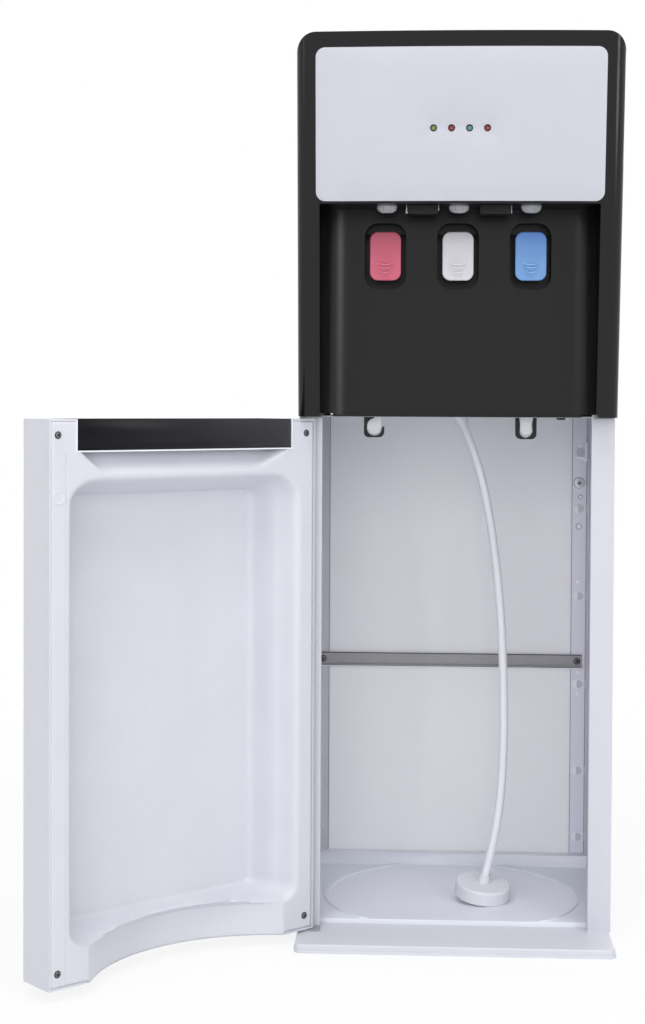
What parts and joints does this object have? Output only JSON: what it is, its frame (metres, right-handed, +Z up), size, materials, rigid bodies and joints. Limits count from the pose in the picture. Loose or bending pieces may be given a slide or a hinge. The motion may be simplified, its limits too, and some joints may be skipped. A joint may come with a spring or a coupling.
{
  "type": "bottom load water cooler",
  "caption": "Floor-standing water cooler with a black dispensing bay over an open bottle compartment, its bowed door, suction hose and lift-out drip tray.",
  "frame": {"origin": "on the floor, in the middle of the cabinet's front opening plane", "axes": "+X to the right seen from the front, +Y to the back, +Z up; the front faces -Y"},
  "size_m": [0.5788, 0.5207, 0.9352],
  "materials": {
    "white_shell": "satin injection-moulded",
    "white_liner": "fine satin",
    "white_sheet": "smooth powder coat",
    "zinc_steel": "galvanised",
    "black_gloss": "high gloss",
    "black_matte": "satin",
    "panel_white": "satin with bright bevelled rim",
    "hot_red": "satin",
    "room_white": "satin",
    "cold_blue": "satin",
    "light_green": "unlit lens",
    "light_red": "unlit lens",
    "light_teal": "unlit lens",
    "nozzle_white": "translucent",
    "hose_white": "smooth silicone",
    "cap_white": "satin",
    "plug_pale": "satin",
    "bright_steel": "plain",
    "foam_grey": "foamed",
    "tank_steel": "drawn stainless",
    "sink_aluminium": "extruded",
    "board_green": "solder mask",
    "tube_clear": "translucent silicone",
    "switch_red": "gloss",
    "switch_green": "gloss"
  },
  "bodies": {
    "cabinet": {"base_plate": "white_shell", "floor_pan": "white_liner", "left_side_panel": "white_sheet", "right_side_panel": "white_sheet", "upper_back_panel": "white_sheet", "lower_back_panel": "white_sheet", "rear_crossbar": "zinc_steel", "crossbar_screws": "bright_steel", "deck_plate": "white_sheet", "top_cover": "white_shell", "front_fascia": "black_gloss", "control_panel": "panel_white", "dispensing_bay": "black_gloss", "power_light": "light_green", "hot_light": "light_red", "cold_light": "light_teal", "empty_light": "light_red", "indicator_board": "board_green", "nozzle_carrier": "black_matte", "nozzles": "nozzle_white", "paddle_shaft": "black_matte", "paddle_springs": "bright_steel", "paddle_switches": "black_matte", "suction_hose": "hose_white", "hose_gland": "hose_white", "probe_cap": "cap_white", "hose_clips": "black_matte", "clip_plugs": "plug_pale", "door_switch": "black_matte", "top_hinge": "zinc_steel", "bottom_hinge": "zinc_steel", "hinge_pins": "bright_steel", "cold_jacket": "foam_grey", "cold_tank": "tank_steel", "heat_sink": "sink_aluminium", "fan_frame": "black_matte", "hot_tank": "tank_steel", "water_manifold": "plug_pale", "pump": "black_matte", "water_tubes": "tube_clear", "board_bracket": "zinc_steel", "control_board": "board_green", "rear_cover": "black_matte", "switch_frames": "black_matte", "power_inlet": "black_matte", "drain_fitting": "plug_pale"},
    "door": {"door_shell": "white_shell", "door_liner": "white_liner", "door_screws": "bright_steel", "door_magnets": "bright_steel", "tray_housing": "black_gloss"},
    "tray": {"drip_tray": "black_matte"},
    "grille": {"drip_grille": "black_matte"},
    "hot_lever": {"hot_paddle": "hot_red"},
    "room_lever": {"room_paddle": "room_white"},
    "cold_lever": {"cold_paddle": "cold_blue"},
    "hot_rocker": {"hot_switch": "switch_red"},
    "cold_rocker": {"cold_switch": "switch_green"},
    "fan": {"fan_rotor": "black_matte"},
    "plug": {"drain_plug": "plug_pale"}
  },
  "joints": [
    {"name": "door_hinge", "type": "hinge", "parent": "cabinet", "child": "door", "pos_m": [-0.1563, -0.0098, 0.011], "axis": [0, 0, -1], "range_deg": [-136.1, 2]},
    {"name": "tray_lift", "type": "slide", "parent": "door", "child": "tray", "axis": [0, 0, 1], "range_m": [0, 0.06]},
    {"name": "grille_lift", "type": "slide", "parent": "tray", "child": "grille", "axis": [0, 0, 1], "range_m": [0, 0.05]},
    {"name": "hot_press", "type": "hinge", "parent": "cabinet", "child": "hot_lever", "pos_m": [-0.0755, 0.002, 0.739], "axis": [1, 0, 0], "range_deg": [0, 12], "stiffness_Nm_per_rad": 0.05, "springref_deg": -17.19},
    {"name": "room_press", "type": "hinge", "parent": "cabinet", "child": "room_lever", "pos_m": [0, 0.002, 0.739], "axis": [1, 0, 0], "range_deg": [0, 12], "stiffness_Nm_per_rad": 0.05, "springref_deg": -17.19},
    {"name": "cold_press", "type": "hinge", "parent": "cabinet", "child": "cold_lever", "pos_m": [0.0755, 0.002, 0.739], "axis": [1, 0, 0], "range_deg": [0, 12], "stiffness_Nm_per_rad": 0.05, "springref_deg": -17.19},
    {"name": "hot_rock", "type": "hinge", "parent": "cabinet", "child": "hot_rocker", "pos_m": [-0.12, 0.26, 0.64], "axis": [-1, 0, 0], "range_deg": [0, 16]},
    {"name": "cold_rock", "type": "hinge", "parent": "cabinet", "child": "cold_rocker", "pos_m": [-0.085, 0.26, 0.64], "axis": [-1, 0, 0], "range_deg": [0, 16]},
    {"name": "fan_spin", "type": "hinge", "parent": "cabinet", "child": "fan", "pos_m": [0.082, 0.22, 0.67], "axis": [0, 1, 0], "continuous": true},
    {"name": "plug_pull", "type": "slide", "parent": "cabinet", "child": "plug", "axis": [0, 1, 0], "range_m": [0, 0.03]}
  ]
}
